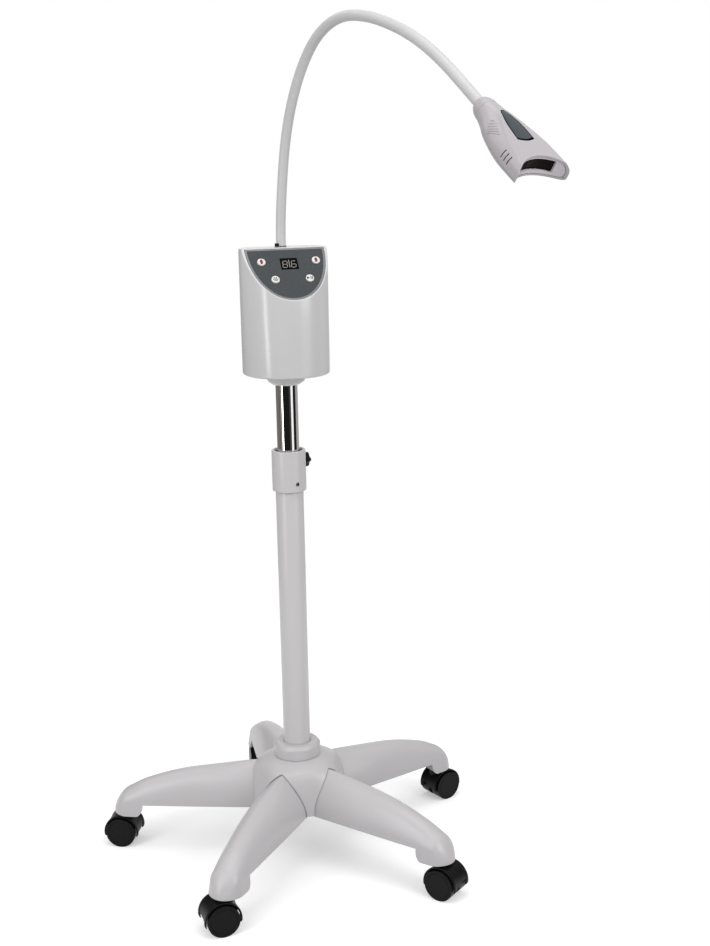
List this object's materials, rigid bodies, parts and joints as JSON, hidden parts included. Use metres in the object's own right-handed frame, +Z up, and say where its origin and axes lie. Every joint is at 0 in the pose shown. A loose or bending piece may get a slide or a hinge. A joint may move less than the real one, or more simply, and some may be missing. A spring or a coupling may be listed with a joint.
{
  "type": "teeth whitening lamp",
  "caption": "Free-standing lamp with a concave mouth head on a flexible arm, a control box with a slanted key panel, a telescopic column and a star base on casters.",
  "frame": {"origin": "centre of the lamp's overall box, on the floor under the casters", "axes": "+Z up; the control panel faces -Y"},
  "size_m": [0.5458, 0.7658, 1.1378],
  "materials": {
    "shell_white": "satin",
    "base_white": "satin",
    "column_white": "satin",
    "hose_grey": "satin",
    "chrome": "polished",
    "steel": "satin",
    "cast_metal": "satin",
    "black_plastic": "satin",
    "panel_border": "satin",
    "panel_film": "satin",
    "button_white": "satin",
    "dark_glass": "gloss",
    "board_green": "satin",
    "amber_filter": "gloss"
  },
  "bodies": {
    "base": {"star_frame": "cast_metal", "hub_bolt": "steel", "leg_cover_1": "base_white", "leg_cover_2": "base_white", "leg_cover_3": "base_white", "leg_cover_4": "base_white", "leg_cover_5": "base_white", "hub_cover": "base_white", "outer_tube": "column_white", "column_collar": "base_white", "clamp_sleeve": "column_white", "guide_bush": "black_plastic", "sleeve_screw": "steel"},
    "knob": {"clamp_knob": "black_plastic"},
    "mast": {"inner_tube": "chrome"},
    "control_box": {"box_flange": "shell_white", "housing_front": "shell_white", "housing_back": "shell_white", "control_panel": "panel_border", "panel_film": "panel_film", "display_window": "dark_glass", "circuit_board": "board_green", "power_supply": "black_plastic", "power_inlet": "black_plastic", "hose_gland": "black_plastic", "gooseneck_link_1": "hose_grey"},
    "rocker": {"power_switch": "black_plastic"},
    "key_upper_left_body": {"key_upper_left": "button_white"},
    "key_upper_right_body": {"key_upper_right": "button_white"},
    "key_lower_left_body": {"key_lower_left": "button_white"},
    "key_lower_right_body": {"key_lower_right": "button_white"},
    "arm_2": {"gooseneck_link_2": "hose_grey"},
    "arm_3": {"gooseneck_link_3": "hose_grey"},
    "arm_4": {"gooseneck_link_4": "hose_grey"},
    "arm_5": {"gooseneck_link_5": "hose_grey"},
    "arm_6": {"gooseneck_link_6": "hose_grey", "neck_collar": "shell_white"},
    "head": {"head_upper_shell": "shell_white", "head_lower_shell": "shell_white", "head_window": "dark_glass", "mouth_frame": "shell_white", "light_filter": "amber_filter", "led_module": "cast_metal"},
    "caster_1": {"caster_hood_1": "black_plastic"},
    "wheels_1": {"caster_wheel_1_a": "black_plastic", "caster_wheel_1_b": "black_plastic"},
    "caster_2": {"caster_hood_2": "black_plastic"},
    "wheels_2": {"caster_wheel_2_a": "black_plastic", "caster_wheel_2_b": "black_plastic"},
    "caster_3": {"caster_hood_3": "black_plastic"},
    "wheels_3": {"caster_wheel_3_a": "black_plastic", "caster_wheel_3_b": "black_plastic"},
    "caster_4": {"caster_hood_4": "black_plastic"},
    "wheels_4": {"caster_wheel_4_a": "black_plastic", "caster_wheel_4_b": "black_plastic"},
    "caster_5": {"caster_hood_5": "black_plastic"},
    "wheels_5": {"caster_wheel_5_a": "black_plastic", "caster_wheel_5_b": "black_plastic"}
  },
  "joints": [
    {"name": "mast_slide", "type": "slide", "parent": "base", "child": "mast", "axis": [0, 0, 1], "range_m": [-0.08, 0.16]},
    {"name": "box_swivel", "type": "hinge", "parent": "mast", "child": "control_box", "pos_m": [-0.00159, 0.10015, 0.68673], "axis": [0, 0, 1], "continuous": true},
    {"name": "knob_turn", "type": "hinge", "parent": "base", "child": "knob", "pos_m": [-0.00159, 0.10015, 0.56253], "axis": [0.8387, 0.5446, 0], "range_deg": [0, 360]},
    {"name": "key_upper_left_press", "type": "slide", "parent": "control_box", "child": "key_upper_left_body", "axis": [0, 0.7547, -0.6561], "range_m": [0, 0.0006], "stiffness_N_per_m": 1500, "springref_m": -0.0002},
    {"name": "key_upper_right_press", "type": "slide", "parent": "control_box", "child": "key_upper_right_body", "axis": [0, 0.7547, -0.6561], "range_m": [0, 0.0006], "stiffness_N_per_m": 1500, "springref_m": -0.0002},
    {"name": "key_lower_left_press", "type": "slide", "parent": "control_box", "child": "key_lower_left_body", "axis": [0, 0.7547, -0.6561], "range_m": [0, 0.0006], "stiffness_N_per_m": 1500, "springref_m": -0.0002},
    {"name": "key_lower_right_press", "type": "slide", "parent": "control_box", "child": "key_lower_right_body", "axis": [0, 0.7547, -0.6561], "range_m": [0, 0.0006], "stiffness_N_per_m": 1500, "springref_m": -0.0002},
    {"name": "rocker_tilt", "type": "hinge", "parent": "control_box", "child": "rocker", "pos_m": [0.01641, 0.12665, 0.71673], "axis": [1, 0, 0], "range_deg": [0, 16]},
    {"name": "arm_bend_1", "type": "hinge", "parent": "control_box", "child": "arm_2", "pos_m": [0.00416, 0.10525, 0.95757], "axis": [0.9548, 0.2974, 0], "range_deg": [-30, 30]},
    {"name": "arm_bend_2", "type": "hinge", "parent": "arm_2", "child": "arm_3", "pos_m": [0.01483, 0.07099, 1.05549], "axis": [-0.2549, 0.8184, 0.515], "range_deg": [-30, 30]},
    {"name": "arm_bend_3", "type": "hinge", "parent": "arm_3", "child": "arm_4", "pos_m": [0.03759, -0.00206, 1.12414], "axis": [-0.9548, -0.2974, 0], "range_deg": [-30, 30]},
    {"name": "arm_bend_4", "type": "hinge", "parent": "arm_4", "child": "arm_5", "pos_m": [0.06828, -0.10062, 1.12207], "axis": [-0.077, 0.2471, -0.9659], "range_deg": [-30, 30]},
    {"name": "arm_bend_5", "type": "hinge", "parent": "arm_5", "child": "arm_6", "pos_m": [0.09711, -0.19316, 1.08291], "axis": [0.9548, 0.2974, 0], "range_deg": [-30, 30]},
    {"name": "head_twist", "type": "hinge", "parent": "arm_6", "child": "head", "pos_m": [0.12365, -0.27837, 1.0199], "axis": [0.2608, -0.7494, -0.6086], "range_deg": [-45, 45]},
    {"name": "caster_swivel_1", "type": "hinge", "parent": "base", "child": "caster_1", "pos_m": [0.23499, 0.17112, 0], "axis": [0, 0, 1], "continuous": true},
    {"name": "wheel_spin_1", "type": "hinge", "parent": "caster_1", "child": "wheels_1", "pos_m": [0.24345, 0.1742, 0.02143], "axis": [0.342, -0.9397, 0], "continuous": true},
    {"name": "caster_swivel_2", "type": "hinge", "parent": "base", "child": "caster_2", "pos_m": [0.00401, 0.34708, 0], "axis": [0, 0, 1], "continuous": true},
    {"name": "wheel_spin_2", "type": "hinge", "parent": "caster_2", "child": "wheels_2", "pos_m": [0.00511, 0.35602, 0.02143], "axis": [0.9925, -0.1219, 0], "continuous": true},
    {"name": "caster_swivel_3", "type": "hinge", "parent": "base", "child": "caster_3", "pos_m": [-0.23471, 0.18178, 0], "axis": [0, 0, 1], "continuous": true},
    {"name": "wheel_spin_3", "type": "hinge", "parent": "caster_3", "child": "wheels_3", "pos_m": [-0.24287, 0.18559, 0.02143], "axis": [0.4226, 0.9063, 0], "continuous": true},
    {"name": "caster_swivel_4", "type": "hinge", "parent": "base", "child": "caster_4", "pos_m": [-0.15127, -0.09634, 0], "axis": [0, 0, 1], "continuous": true},
    {"name": "wheel_spin_4", "type": "hinge", "parent": "caster_4", "child": "wheels_4", "pos_m": [-0.16025, -0.09696, 0.02143], "axis": [-0.0698, 0.9976, 0], "continuous": true},
    {"name": "caster_swivel_5", "type": "hinge", "parent": "base", "child": "caster_5", "pos_m": [0.13902, -0.10292, 0], "axis": [0, 0, 1], "continuous": true},
    {"name": "wheel_spin_5", "type": "hinge", "parent": "caster_5", "child": "wheels_5", "pos_m": [0.14456, -0.11002, 0.02143], "axis": [-0.788, -0.6157, 0], "continuous": true}
  ]
}
